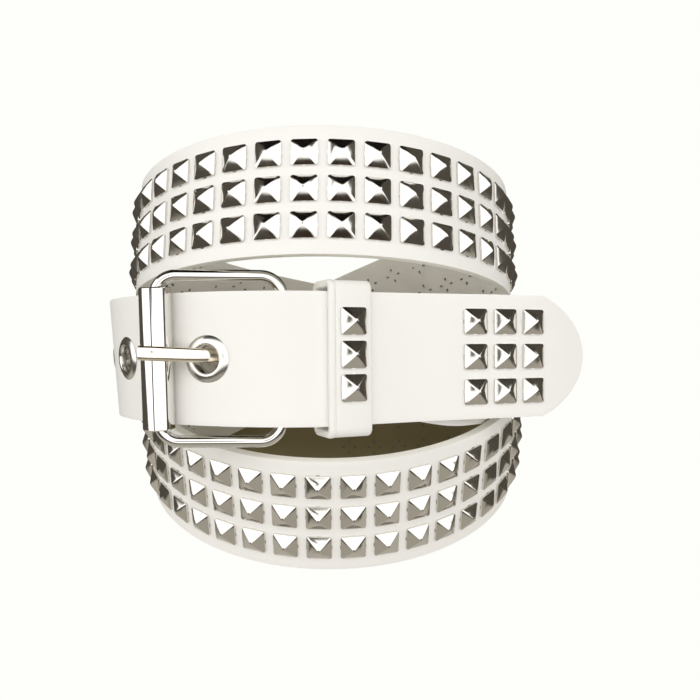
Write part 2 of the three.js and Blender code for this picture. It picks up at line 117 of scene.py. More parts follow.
# Rows of the strap's route: across and up as shares of the coil's radius, along as a share of its width,
# then studded plies up from the table, lean and flare in degrees.
frontRows = [
    (-0.175, -0.066, 1.545), (-0.085, -0.066, 1.542), (0.0, -0.066, 1.526), (0.122, -0.064, 1.478),
    (0.22, -0.062, 1.432), (0.427, -0.058, 1.347), (0.626, -0.054, 1.279), (0.824, -0.051, 1.212),
    (0.993, -0.05, 1.145), (1.145, -0.05, 1.069), (1.282, -0.05, 0.984),
]
foldEndRow = 4                  # the folded end stops under this row
underRow = 5                    # the lower ply leaves the free end after this row
innerSideRows = [
    (0.61, -0.12, 1.185), (0.743, -0.126, 1.066), (0.857, -0.132, 0.889), (0.929, -0.14, 0.681),
    (0.943, -0.145, 0.524), (0.92, -0.137, 0.381), (0.843, -0.12, 0.246),
]
innerBackRows = [
    (0.714, -0.08, 0.053, 1), (0.543, -0.013, 0.007, 1), (0.4, 0.04, 0.016, 1),
    (0.257, 0.092, 0.042, 1), (0.114, 0.132, 0.079, 1), (-0.029, 0.171, 0.004, 2),
    (-0.4, 0.303, 0.004, 2), (-0.6, 0.382, 0.009, 2), (-0.771, 0.474, 0.036, 2),
    (-0.914, 0.618, 0.131, 2), (-0.993, 0.763, 0.26, 2, -5),
]
middleBackRows = [
    (0.964, 0.855, 0.424, 0, -5), (0.905, 0.803, 0.246), (0.772, 0.724, 0.094), (0.629, 0.658, 0.014),
    (0.514, 0.6, 0.001), (0.3, 0.442, 0.018), (0.114, 0.289, 0.058), (-0.057, 0.132, 0.001, 1),
    (-0.4, -0.158, 0.001, 1), (-0.6, -0.329, 0.003, 1), (-0.77, -0.487, 0.04, 1, 3),
    (-0.908, -0.592, 0.153, 1, 9), (-0.98, -0.68, 0.324, 1, 16),
]
outerBackRows = [
    (1.063, -0.71, 0.324, 0, 16), (1.014, -0.7, 0.153, 0, 8), (0.886, -0.72, 0.036), (0.729, -0.75, 0),
    (0.4, -0.785, 0), (-0.029, -0.785, 0), (-0.4, -0.725, 0), (-0.657, -0.58, 0), (-0.893, -0.41, 0.05),
    (-1.061, -0.26, 0.19, 0, 0, -2), (-1.133, -0.145, 0.39, 0, 0, -4),
]
topRing = {"row": (-0.018, 0.89, 0.544), "radius": 0.996, "lean": -9.84, "turn": (-84, 84), "steps": 8}
bottomRing = {"row": (0.022, -0.652, 0.329), "radius": 1.041, "lean": 21.62, "turn": (-72, 78), "steps": 8}
leftRing = {"row": (-0.191, -0.066, 0.61), "radius": 0.929, "lean": 0, "flare": -5,
            "turn": (-90, -12), "steps": 5}


# A row of the route as a point and the direction of the strap's width there
def place(across, along, up, layer=0, lean=0, flare=0):
    point = Vector((across * belt["coilRadius"], along * belt["width"],
                    baseHeight + up * belt["coilRadius"] + layer * layerPitch))
    return point, Vector((math.tan(math.radians(flare)), 1, math.tan(math.radians(lean))))


# A round turn of the route, on an arc that leans with the strap
def ringStations(ring):
    lean = math.radians(ring["lean"])
    centre, hint = place(*ring["row"], lean=ring["lean"], flare=ring.get("flare", 0))
    radius = ring["radius"] * belt["coilRadius"]
    start, end = ring["turn"]
    stations = []
    for i in range(ring["steps"] + 1):
        angle = math.radians(start + (end - start) * i / ring["steps"])
        rise = radius * math.cos(angle)
        offset = Vector((radius * math.sin(angle), -rise * math.sin(lean), rise * math.cos(lean)))
        stations.append((centre + offset, hint))
    return stations


# A front row moved down by a number of plies, square to the strap
def plyStation(index, plies):
    here, hint = place(*frontRows[index])
    before = place(*frontRows[max(index - 1, 0)])[0]
    after = place(*frontRows[index + 1])[0]
    down = Vector((after.z - before.z, 0, before.x - after.x)).normalized()
    return here + down * plies * plyPitch, hint


foldRadius = belt["wire"] / 2 + belt["clearance"] + belt["thickness"] / 2
hinge = plyStation(0, 1)[0] - Vector((0, 0, foldRadius))
foldSteps = 6


# The folded end: the inner ply from its end to the hinge bar, half round the bar, and the ply above it
def foldStations():
    stations = [plyStation(i, 2) for i in range(foldEndRow, 0, -1)]
    stations[-1][0].z = hinge.z - foldRadius + belt["plyGap"]
    for i in range(foldSteps + 1):
        angle = math.pi * i / foldSteps
        offset = Vector((-foldRadius * math.sin(angle), 0, -foldRadius * math.cos(angle)))
        stations.append((hinge + offset, yAxis))
    return stations + [plyStation(i, 1) for i in range(1, underRow + 1)]


stations = (foldStations() + [place(*row) for row in innerSideRows + innerBackRows]
            + ringStations(topRing) + [place(*row) for row in middleBackRows]
            + ringStations(bottomRing) + [place(*row) for row in outerBackRows]
            + ringStations(leftRing) + [place(*row) for row in frontRows])


# A smooth curve through points, with knots spaced by distance or evenly
def curveAt(points, share, byDistance):
    spot = share * (len(points) - 1)
    i = min(int(spot), len(points) - 2)
    t = spot - i
    b, c = points[i], points[i + 1]
    a = points[i - 1] if i > 0 else b * 2 - c
    d = points[i + 2] if i + 2 < len(points) else c * 2 - b
    if byDistance:
        first, middle, last = ((q - p).length ** 0.5 for p, q in ((a, b), (b, c), (c, d)))
        leave = ((b - a) / first - (c - a) / (first + middle) + (c - b) / middle) * middle
        arrive = ((c - b) / middle - (d - b) / (middle + last) + (d - c) / last) * middle
    else:
        leave, arrive = (c - a) / 2, (d - b) / 2
    return (b + leave * t + (c * 3 - b * 3 - leave * 2 - arrive) * t * t
            + (b * 2 - c * 2 + leave + arrive) * t ** 3)


samplesPerStation = 24
sampleCount = (len(stations) - 1) * samplesPerStation
samplePoints = [curveAt([s[0] for s in stations], i / sampleCount, True) for i in range(sampleCount + 1)]
sampleHints = [curveAt([s[1] for s in stations], i / sampleCount, False) for i in range(sampleCount + 1)]
sampleLengths = [0.0]
for i in range(sampleCount):
    sampleLengths.append(sampleLengths[-1] + (samplePoints[i + 1] - samplePoints[i]).length)
strapLength = sampleLengths[-1]


def routeAt(length):
    i = min(max(bisect_left(sampleLengths, length), 1), sampleCount)
    share = (length - sampleLengths[i - 1]) / (sampleLengths[i] - sampleLengths[i - 1])
    return (samplePoints[i - 1].lerp(samplePoints[i], share), sampleHints[i - 1].lerp(sampleHints[i], share))


# Middle and axes of the strap over a stretch: along it, across its width, out of its studded face
def frameOver(start, end):
    a, hintA = routeAt(start)
    b, hintB = routeAt(end)
    along = (b - a).normalized()
    width = hintA + hintB
    width = (width - along * width.dot(along)).normalized()
    return (a + b) / 2, along, width, along.cross(width)


def frameAt(length):
    return frameOver(max(length - 1, 0), min(length + 1, strapLength))


overHinge = sampleLengths[(len(stations) - len(frontRows)) * samplesPerStation]
foldMiddle = sampleLengths[(foldEndRow + foldSteps // 2) * samplesPerStation]
print(f"route: {strapLength:.1f} mm of strap")


# Coated leather: split hide with a cast white film, so it shines softly and shows a fine grain.
def makeLeather():
    look = {"colour": "#F6F4F0", "shade": "#F2EFEA", "roughness": 0.42, "coat": 0.12,
            "grainSize": 0.7, "grainDepth": 0.035, "wrinkleSize": 9, "wrinkleDepth": 0.05}
    material, tree = newMaterial("coatedWhiteLeather")
    uv = addNode(tree, "ShaderNodeUVMap", {"uv_map": "strapMap"}).outputs["UV"]
    cloud = addNode(tree, "ShaderNodeTexNoise", {}, {"Vector": uv, "Scale": 1 / (40 * mm), "Detail": 3.0})
    colour = addNode(tree, "ShaderNodeMix", {"data_type": "RGBA"}, {
        0: cloud.outputs["Fac"], 6: toLinear(look["colour"]), 7: toLinear(look["shade"])})
    # hair pores are 0.2 mm in life, drawn at 0.7 mm so that they show
    grain = addNode(tree, "ShaderNodeTexVoronoi", {"feature": "SMOOTH_F1"}, {
        "Vector": uv, "Scale": 1 / (look["grainSize"] * mm), "Smoothness": 0.6})
    wrinkle = addNode(tree, "ShaderNodeTexNoise", {}, {
        "Vector": uv, "Scale": 1 / (look["wrinkleSize"] * mm), "Detail": 2.0})
    coarse = addNode(tree, "ShaderNodeBump", {}, {
        "Strength": 0.5, "Distance": look["wrinkleDepth"] * mm, "Height": wrinkle.outputs["Fac"]})
    fine = addNode(tree, "ShaderNodeBump", {}, {
        "Strength": 0.6, "Distance": look["grainDepth"] * mm, "Height": grain.outputs["Distance"],
        "Normal": coarse.outputs["Normal"]})
    rough = addNode(tree, "ShaderNodeMapRange", {}, {
        "Value": wrinkle.outputs["Fac"],
        "To Min": look["roughness"] - 0.06, "To Max": look["roughness"] + 0.08})
    shader = addNode(tree, "ShaderNodeBsdfPrincipled", {}, {
        "Base Color": colour.outputs[2], "Roughness": rough.outputs[0], "IOR": 1.48,
        "Coat Weight": look["coat"], "Coat Roughness": 0.3, "Normal": fine.outputs["Normal"]})
    addNode(tree, "ShaderNodeOutputMaterial", {}, {"Surface": shader.outputs[0]})
    return material


# Edge paint: a thick acrylic bead wiped on the cut edge, duller and a touch warmer than the face.
def makeEdgePaint():
    look = {"colour": "#F4F1E8", "roughness": 0.5, "ripple": 0.05}
    material, tree = newMaterial("acrylicEdgePaint")
    spot = addNode(tree, "ShaderNodeTexCoord").outputs["Object"]
    ripple = addNode(tree, "ShaderNodeTexNoise", {}, {"Vector": spot, "Scale": 1 / (3 * mm), "Detail": 2.0})
    bump = addNode(tree, "ShaderNodeBump", {}, {
        "Strength": 0.6, "Distance": look["ripple"] * mm, "Height": ripple.outputs["Fac"]})
    shader = addNode(tree, "ShaderNodeBsdfPrincipled", {}, {
        "Base Color": toLinear(look["colour"]), "Roughness": look["roughness"], "IOR": 1.49,
        "Normal": bump.outputs["Normal"]})
    addNode(tree, "ShaderNodeOutputMaterial", {}, {"Surface": shader.outputs[0]})
    return material


# Suede lining: the brushed flesh side of the split, so it is matt and its short fibres catch the light.
def makeLining():
    # the lining's own tones, and a dark olive painted shade laid on one stretch of it
    look = {"colour": "#DDD9D0", "shade": "#C9C5BA", "paintedShade": "#877C5A", "paintedShadeFrom": (640, 860),
            "sheen": 0.3, "fibre": 0.5, "fibreDepth": 0.12}
    material, tree = newMaterial("brushedSuede")
    uv = addNode(tree, "ShaderNodeUVMap", {"uv_map": "strapMap"}).outputs["UV"]
    cloud = addNode(tree, "ShaderNodeTexNoise", {}, {"Vector": uv, "Scale": 1 / (14 * mm), "Detail": 4.0})
    fibre = addNode(tree, "ShaderNodeTexNoise", {}, {
        "Vector": uv, "Scale": 1 / (look["fibre"] * mm), "Detail": 3.0, "Roughness": 0.7})
    colour = addNode(tree, "ShaderNodeMix", {"data_type": "RGBA"}, {
        0: cloud.outputs["Fac"], 6: toLinear(look["colour"]), 7: toLinear(look["shade"])})
    # painted shade: from 640 to 860 mm along the strap the lining turns dark olive, standing in for the deep
    # shade inside the coil
    start, end = look["paintedShadeFrom"]
    length = addNode(tree, "ShaderNodeSeparateXYZ", {}, {0: uv}).outputs[0]
    shadeMask = addNode(tree, "ShaderNodeMapRange", {"interpolation_type": "SMOOTHSTEP"}, {
        "Value": length, "From Min": start * mm, "From Max": end * mm})
    colour = addNode(tree, "ShaderNodeMix", {"data_type": "RGBA"}, {
        0: shadeMask.outputs[0], 6: colour.outputs[2], 7: toLinear(look["paintedShade"])})
    bump = addNode(tree, "ShaderNodeBump", {}, {
        "Strength": 0.8, "Distance": look["fibreDepth"] * mm, "Height": fibre.outputs["Fac"]})
    shader = addNode(tree, "ShaderNodeBsdfPrincipled", {}, {
        "Base Color": colour.outputs[2], "Roughness": 0.95, "Specular IOR Level": 0.2,
        "Sheen Weight": look["sheen"], "Sheen Roughness": 0.6, "Normal": bump.outputs["Normal"]})
    addNode(tree, "ShaderNodeOutputMaterial", {}, {"Surface": shader.outputs[0]})
    return material


# Plated metal: nickel or chrome over polished steel, mirror-like with fine scratches from handling.
def makePlating(name, colour, roughness, scratchDepth):
    material, tree = newMaterial(name)
    spot = addNode(tree, "ShaderNodeTexCoord").outputs["Object"]
    stretch = addNode(tree, "ShaderNodeMapping", {}, {"Vector": spot, "Scale": (1.0, 0.25, 0.6)})
    scratch = addNode(tree, "ShaderNodeTexNoise", {}, {
        "Vector": stretch.outputs[0], "Scale": 1 / (0.6 * mm), "Detail": 4.0})
    bump = addNode(tree, "ShaderNodeBump", {}, {
        "Strength": 0.4, "Distance": scratchDepth * mm, "Height": scratch.outputs["Fac"]})
    haze = addNode(tree, "ShaderNodeTexNoise", {}, {"Vector": spot, "Scale": 1 / (5 * mm), "Detail": 3.0})
    rough = addNode(tree, "ShaderNodeMapRange", {}, {
        "Value": haze.outputs["Fac"], "To Min": roughness * 0.7, "To Max": roughness * 1.4})
    shader = addNode(tree, "ShaderNodeBsdfPrincipled", {}, {
        "Base Color": toLinear(colour), "Metallic": 1.0, "Roughness": rough.outputs[0],
        "Normal": bump.outputs["Normal"]})
    addNode(tree, "ShaderNodeOutputMaterial", {}, {"Surface": shader.outputs[0]})
    return material


leather = makeLeather()
edgePaint = makeEdgePaint()
lining = makeLining()
# nickel on pressed steel: a clear mirror with a warm cast
studPlate = makePlating("nickelPlatedStuds", "#DAD7D1", 0.11, 0.006)
# chrome on wire and tube: the sharpest mirror of the belt
bucklePlate = makePlating("chromePlatedSteel", "#E2E0DB", 0.07, 0.004)
# thinner plating on the prong, rubbed soft and creamy by use
prongPlate = makePlating("chromePlatedWire", "#F1E9D8", 0.16, 0.006)
# nickel on brass: a satin ring round each hole
eyeletPlate = makePlating("nickelPlatedBrass", "#DCD9D4", 0.2, 0.008)
# bare claw ends: small dark dots on the pale lining
clawSteel = makePlating("darkenedSteelClaws", "#6F6A60", 0.35, 0.02)
print("finishes made")


strap = {
    "step": 1.9,                # length of a face along the strap
    "rows": 20,                 # faces across its width
    "tipSteps": 12,
    "tipTurn": 88,              # the rounded end stops flat here, in degrees
    "edgeRound": 0.55,
    "eyeletHole": 4.9,          # radius of a punched hole
    "slotReach": 12,            # from the fold's middle to where the slot's ends start to round
    "slotRadius": 2.3,
}
eyelets = {
    "count": 5,
    "fromHinge": 21,            # the one in use
    "pitch": 35,
    "bore": 4.0,
    "tube": 0.6,
    "flange": 6.85,
    "crown": 2.35,              # highest point over the middle of the eyelet
    "proud": 0.2,               # how far it sits out of the strap's middle plane
    "steps": 48,
}
studField = {
    "start": 99.1,              # first column, from the strap's folded end
    "fromEyelet": 32,           # bare strap kept before the last eyelet
    "tipColumns": 3,
    "lastColumnFromTip": 22,
}

eyeletPlaces = [overHinge - eyelets["fromHinge"] - i * eyelets["pitch"] for i in range(eyelets["count"])]
columnPitch = belt["columnPitch"]
fieldReach = eyeletPlaces[-1] - studField["fromEyelet"] - studField["start"]
studColumns = [studField["start"] + i * columnPitch for i in range(int(fieldReach / columnPitch))]
lastColumn = strapLength - studField["lastColumnFromTip"]
tipStudColumns = [lastColumn - i * columnPitch for i in reversed(range(studField["tipColumns"]))]


# Cuts a hole with round ends in the flat strap: faces go, and the rim moves onto the outline
def punch(bm, middle, reach, radius):
    def outline(co):
        core = Vector((min(max(co.x, middle - reach), middle + reach), 0, 0))
        return core, (co - core).length
    gone = [f for f in bm.faces if outline(f.calc_center_median())[1] < radius]
    rim = {v for f in gone for v in f.verts}
    bmesh.ops.delete(bm, geom=gone, context="FACES")
    for v in rim:
        if v.is_valid:
            core, distance = outline(v.co)
            if distance > 0:
                v.co = core + (v.co - core) * (radius / distance)


def makeStrap():
    half = belt["width"] / 2
    bare = strapLength - belt["tipLength"]
    count = round(bare / strap["step"])
    lengths = [bare * i / count for i in range(count + 1)]
    for i in range(1, strap["tipSteps"] + 1):
        angle = math.radians(strap["tipTurn"] * i / strap["tipSteps"])
        lengths.append(bare + belt["tipLength"] * math.sin(angle))
    bm = bmesh.new()
    bmesh.ops.create_grid(bm, x_segments=len(lengths) - 1, y_segments=strap["rows"], size=0.5)
    for v in bm.verts:
        length = lengths[round((v.co.x + 0.5) * (len(lengths) - 1))]
        past = max(length - bare, 0) / belt["tipLength"]
        v.co = Vector((length, v.co.y * 2 * half * math.sqrt(1 - past ** belt["tipRoundness"]), 0))
    for spot in eyeletPlaces:
        punch(bm, spot, 0, strap["eyeletHole"])
    punch(bm, foldMiddle, strap["slotReach"], strap["slotRadius"])
    uvLayer = bm.loops.layers.uv.new("strapMap")
    for face in bm.faces:
        for loop in face.loops:
            loop[uvLayer].uv = (loop.vert.co.x * mm, loop.vert.co.y * mm)
    for v in bm.verts:
        width = frameAt(v.co.x)[2]
        v.co = routeAt(v.co.x)[0] + width * v.co.y
    piece = finishPiece(bm, "strap", [leather, lining, edgePaint], ["studded_strap"])
    wall = piece.modifiers.new("thickness", "SOLIDIFY")
    wall.thickness = belt["thickness"] * mm
    wall.offset = 0
    wall.material_offset = 1
    wall.material_offset_rim = 2
    edge = piece.modifiers.new("roundedEdges", "BEVEL")
    edge.width = strap["edgeRound"] * mm
    edge.segments = 3
    edge.limit_method = "ANGLE"
    edge.angle_limit = math.radians(50)


makeStrap()
print("strap made")


stud = {
    "sink": 0.1,                # depth of its foot in the leather
    "bulge": 0.1,               # how far the faces swell halfway up
    "arris": 0.5,               # width of the rounded arrises
    "tab": (1.2, 0.35, 0.35),   # claw that leaves the rim at the middle of each side
    "claw": (1.0, 0.55, 0.3),   # its end, bent flat on the lining
    "clawInset": 1.5,
    "clawSink": 0.1,
    "tipLift": 0.05,            # air under the studs of the tip
    "smoothAngle": 12,          # faces that meet at more keep a crisp edge
}


# The same block at each of a stud's four sides
def addFourBlocks(bm, size, reach, height):
    for quarter in range(4):
        turn = Matrix.Rotation(quarter * math.pi / 2, 4, "Z")
        matrix = turn @ Matrix.Translation((reach, 0, height)) @ Matrix.Diagonal((*size, 1))
        bmesh.ops.create_cube(bm, size=1, matrix=matrix)


def templateMesh(bm, name):
    mesh = bpy.data.meshes.new(name)
    bm.to_mesh(mesh)
    bm.free()
    return mesh


# One pressed stud on the plane z = 0: a low pyramid with swollen faces on a straight rim
def makeStudTemplate():
    half, top, rim = belt["studSize"] / 2, belt["studHeight"], belt["studRim"]
    bm = bmesh.new()
    raised = Matrix.Translation((0, 0, (top + rim) / 2))
    bmesh.ops.create_cone(bm, cap_ends=False, segments=4, radius1=half * math.sqrt(2), radius2=0,
                          depth=top - rim, matrix=raised @ Matrix.Rotation(math.pi / 4, 4, "Z"))
    bmesh.ops.remove_doubles(bm, verts=bm.verts, dist=mergeDistance)
    arrises = [e for e in bm.edges if not e.is_boundary]
    halved = bmesh.ops.subdivide_edges(bm, edges=arrises, cuts=1)
    for v in halved["geom_inner"]:
        if isinstance(v, bmesh.types.BMVert):
            v.co.z += stud["bulge"]

    # an arris runs down a diagonal; the edges across it stay level
    def isArris(edge):
        low, high = edge.verts
        onDiagonals = all(abs(abs(v.co.x) - abs(v.co.y)) < 0.01 for v in (low, high))
        return onDiagonals and not edge.is_boundary and abs(low.co.z - high.co.z) > 0.1

    arrises = [e for e in bm.edges if isArris(e)]
    bmesh.ops.bevel(bm, geom=arrises, offset=stud["arris"], offset_type="OFFSET", segments=2,
                    profile=0.5, affect="EDGES", clamp_overlap=True, material=-1)
    skirt = bmesh.ops.extrude_edge_only(bm, edges=[e for e in bm.edges if e.is_boundary])
    for v in skirt["geom"]:
        if isinstance(v, bmesh.types.BMVert):
            v.co.z = -stud["sink"]
    length, depth, height = stud["tab"]
    addFourBlocks(bm, (depth, length, height), half, height / 2 - stud["sink"])
    bmesh.ops.recalc_face_normals(bm, faces=bm.faces)
    return templateMesh(bm, "studTemplate")


# The four claw ends of one stud, flat under the plane z = 0
def makeClawTemplate():
    bm = bmesh.new()
    addFourBlocks(bm, stud["claw"], belt["studSize"] / 2 - stud["clawInset"], -stud["claw"][2] / 2)
    return templateMesh(bm, "clawTemplate")


studTemplate = makeStudTemplate()
clawTemplate = makeClawTemplate()


# A template's copy, set on the strap at a centre
def addCopy(bm, template, centre, along, width, out):
    before = len(bm.verts)
    bm.from_mesh(template)
    bm.verts.ensure_lookup_table()
    bmesh.ops.transform(bm, matrix=axesMatrix(centre, along, width, out), verts=bm.verts[before:])


def rowOffsets(pitch):
    return [(row - (belt["studRows"] - 1) / 2) * pitch for row in range(belt["studRows"])]


def makeStudField():
    studs, claws = bmesh.new(), bmesh.new()
    half = belt["studSize"] / 2
    for spot in studColumns + tipStudColumns:
        centre, along, width, out = frameOver(spot - half, spot + half)
        for offset in rowOffsets(belt["rowPitch"]):
            seat = centre + width * offset
            if spot in studColumns:
                addCopy(studs, studTemplate, seat + out * belt["thickness"] / 2, along, width, out)
            back = seat - out * (belt["thickness"] / 2 - stud["clawSink"])
            addCopy(claws, clawTemplate, back, along, width, out)
    finishPiece(studs, "studField", [studPlate], ["studded_strap"], stud["smoothAngle"])
    finishPiece(claws, "studClaws", [clawSteel], ["studded_strap"], smoothAngle=35)


def makeTipStuds():
    half = belt["studSize"] / 2
    number = 1
    for spot in tipStudColumns:
        centre, along, width, out = frameOver(spot - half, spot + half)
        for offset in rowOffsets(belt["rowPitch"]):
            bm = bmesh.new()
            seat = centre + width * offset + out * (belt["thickness"] / 2 + stud["tipLift"])
            addCopy(bm, studTemplate, seat, along, width, out)
            finishPiece(bm, f"tipStud{number}", [studPlate], [f"tip_stud_{number}"],
                        stud["smoothAngle"])
            number += 1


makeStudField()
makeTipStuds()
print(f"studs made: {len(studColumns) * belt['studRows']} in the field")


# A closed profile of radius and height turned about z: a whole ring, or a shorter piece with closed ends
def turnProfile(bm, profile, steps, angle=2 * math.pi, start=0.0):
    verts = [bm.verts.new((r * math.cos(start), r * math.sin(start), z)) for r, z in profile]
    edges = [bm.edges.new((verts[i], verts[(i + 1) % len(verts)])) for i in range(len(verts))]
    whole = angle >= 2 * math.pi - 1e-6
    bmesh.ops.spin(bm, geom=verts + edges, cent=(0, 0, 0), axis=(0, 0, 1), angle=angle,
                   steps=steps, use_merge=whole)
    if not whole:
        bmesh.ops.holes_fill(bm, edges=[e for e in bm.edges if e.is_boundary], sides=0)
    bmesh.ops.remove_doubles(bm, verts=bm.verts, dist=mergeDistance)
    bmesh.ops.recalc_face_normals(bm, faces=bm.faces)


def makeEyelets():
    bore, tube, flange, crown = (eyelets[k] for k in ("bore", "tube", "flange", "crown"))
    seat = belt["thickness"] / 2
    upper = [  # from the bore over the crown to the flange's edge and back to the tube
        (bore, crown - 0.45), (bore + 0.2, crown - 0.12), (bore + 0.6, crown), (bore + 1.2, crown - 0.08),
        (bore + 1.8, crown - 0.3), (flange - 0.3, seat + 0.35), (flange, seat + 0.08),
        (flange - 0.2, seat - 0.05), (bore + tube, seat - 0.05)]
    profile = upper + [(r, -z) for r, z in reversed(upper)]
    for i, spot in enumerate(eyeletPlaces):
        reach = eyelets["flange"] + belt["clearance"]
        centre, along, width, out = frameOver(spot - reach, spot + reach)
        bm = bmesh.new()
        turnProfile(bm, profile, eyelets["steps"])
        matrix = axesMatrix(centre + out * eyelets["proud"], along, width, out)
        bmesh.ops.transform(bm, matrix=matrix, verts=bm.verts)
        finishPiece(bm, f"eyelet{i + 1}", [eyeletPlate], [f"eyelet_{i + 1}"], smoothAngle=50)


makeEyelets()
print("eyelets made")


# Each spot is a centre with a side and an up axis; a section is a ring of (side, up) pairs
def sweepSection(bm, spots, section, closed):
    spans = len(spots) if closed else len(spots) - 1
    bmesh.ops.create_grid(bm, x_segments=spans, y_segments=len(section), size=0.5)
    uvLayer = bm.loops.layers.uv.new("strapMap")
    travelled, girth = [0.0], [0.0]
    for i in range(spans):
        travelled.append(travelled[-1] + (spots[(i + 1) % len(spots)][0] - spots[i][0]).length)
    for i in range(len(section)):
        a, b = section[i], section[(i + 1) % len(section)]
        girth.append(girth[-1] + math.hypot(b[0] - a[0], b[1] - a[1]))
    places = {v: (round((v.co.x + 0.5) * spans), round((v.co.y + 0.5) * len(section))) for v in bm.verts}
    for face in bm.faces:
        for loop in face.loops:
            i, j = places[loop.vert]
            loop[uvLayer].uv = (travelled[i] * mm, girth[j] * mm)
    for v, (i, j) in places.items():
        centre, side, up = spots[i % len(spots)]
        a, b = section[j % len(section)]
        v.co = centre + side * a + up * b
    bmesh.ops.remove_doubles(bm, verts=bm.verts, dist=mergeDistance)
    if not closed:
        bmesh.ops.holes_fill(bm, edges=[e for e in bm.edges if e.is_boundary], sides=0)
    bmesh.ops.recalc_face_normals(bm, faces=bm.faces)


# An oval; a power below 1 flattens its sides
def ovalSection(width, height, sides, power=1.0):
    def eased(value):
        return math.copysign(abs(value) ** power, value)
    turns = [2 * math.pi * (i + 0.5) / sides for i in range(sides)]
    return [(width / 2 * eased(math.cos(t)), height / 2 * eased(math.sin(t))) for t in turns]


# Spots along a flat path: the plane's normal is the side axis, and the up axis is square to the path
def pathSpots(path, normal, closed):
    spots = []
    for i, point in enumerate(path):
        before = path[i - 1] if closed or i > 0 else point
        after = path[(i + 1) % len(path)] if closed or i < len(path) - 1 else point
        spots.append((point, normal, normal.cross((after - before).normalized())))
    return spots


def roundedLoop(centre, uAxis, vAxis, width, height, corner, steps):
    path = []
    for u, v, start in ((1, 1, 0), (-1, 1, 90), (-1, -1, 180), (1, -1, 270)):
        for i in range(steps + 1):
            angle = math.radians(start + 90 * i / steps)
            path.append(centre + uAxis * (u * (width / 2 - corner) + corner * math.cos(angle))
                        + vAxis * (v * (height / 2 - corner) + corner * math.sin(angle)))
    return path


buckle = {"innerHeight": 44, "corner": 6, "cornerSteps": 10, "wireSides": 20}
roller = {
    "diameter": 9, "wall": 1.6, "length": 40.5, "chamfer": 0.35,
    "fromHinge": 34,            # along the strap
    "seam": 0.3,                # gap of the butt seam
    "seamAngle": -2,            # from the top of the tube, in degrees
    "steps": 60,
}
prong = {
    "thickness": 2.6, "width": 4.1,
    "power": 0.6,               # below 1 flattens the sides of its section
    "overhang": 3.4,            # past the top of the roller
    "climb": 38,                # slope through the eyelet, in degrees
    "reach": 4,                 # half of that straight stretch
    "shift": 0.4,               # from the eyelet's middle, along the strap
    "yaw": -2.5,                # turn about the hinge bar's middle, in degrees
    "hookStart": 140, "hookSteps": 12,
    "sides": 24, "endRound": 0.5,
}

rollerCentre, _, rollerWidth, rollerOut = frameAt(overHinge - roller["fromHinge"])
rollerAxis = rollerCentre + rollerOut * (belt["thickness"] / 2 + belt["clearance"] + roller["diameter"] / 2)
rollerAxis.y = hinge.y


def makeFrame():
    across = rollerAxis - hinge
    uAxis = across.normalized()
    twist = rollerWidth - yAxis
    loop = roundedLoop((rollerAxis + hinge) / 2, uAxis, yAxis, across.length,
                       buckle["innerHeight"] + belt["wire"], buckle["corner"], buckle["cornerSteps"])
    loop = [p + twist * ((p - hinge).dot(uAxis) / across.length * (p.y - hinge.y)) for p in loop]
    bm = bmesh.new()
    section = ovalSection(belt["wire"], belt["wire"], buckle["wireSides"])
    sweepSection(bm, pathSpots(loop, uAxis.cross(yAxis), True), section, True)
    finishPiece(bm, "buckleFrame", [bucklePlate], ["buckle_frame"])


# The roller is a strip rolled to a tube, so a butt seam runs along it
def makeRoller():
    outer, inner = roller["diameter"] / 2, roller["diameter"] / 2 - roller["wall"]
    half, chamfer = roller["length"] / 2, roller["chamfer"]
    profile = [(inner, -half), (outer - chamfer, -half), (outer, -half + chamfer), (outer, half - chamfer),
               (outer - chamfer, half), (inner, half)]
    gap = roller["seam"] / outer
    bm = bmesh.new()
    turnProfile(bm, profile, roller["steps"], 2 * math.pi - gap, gap / 2)
    across = rollerWidth.cross(Vector((0, 0, 1))).normalized()
    up = across.cross(rollerWidth)
    seamAngle = math.radians(roller["seamAngle"])
    seam = up * math.cos(seamAngle) + across * math.sin(seamAngle)
    matrix = axesMatrix(rollerAxis, seam, rollerWidth.cross(seam), rollerWidth)
    bmesh.ops.transform(bm, matrix=matrix, verts=bm.verts)
    finishPiece(bm, "roller", [bucklePlate], ["roller"], smoothAngle=30)


# Cuts the corners of a path, once for each round
def cutCorners(path, rounds):
    for _ in range(rounds):
        inner = [p for a, b in zip(path, path[1:]) for p in (a.lerp(b, 0.25), a.lerp(b, 0.75))]
        path = [path[0]] + inner[1:-1] + [path[-1]]
    return path


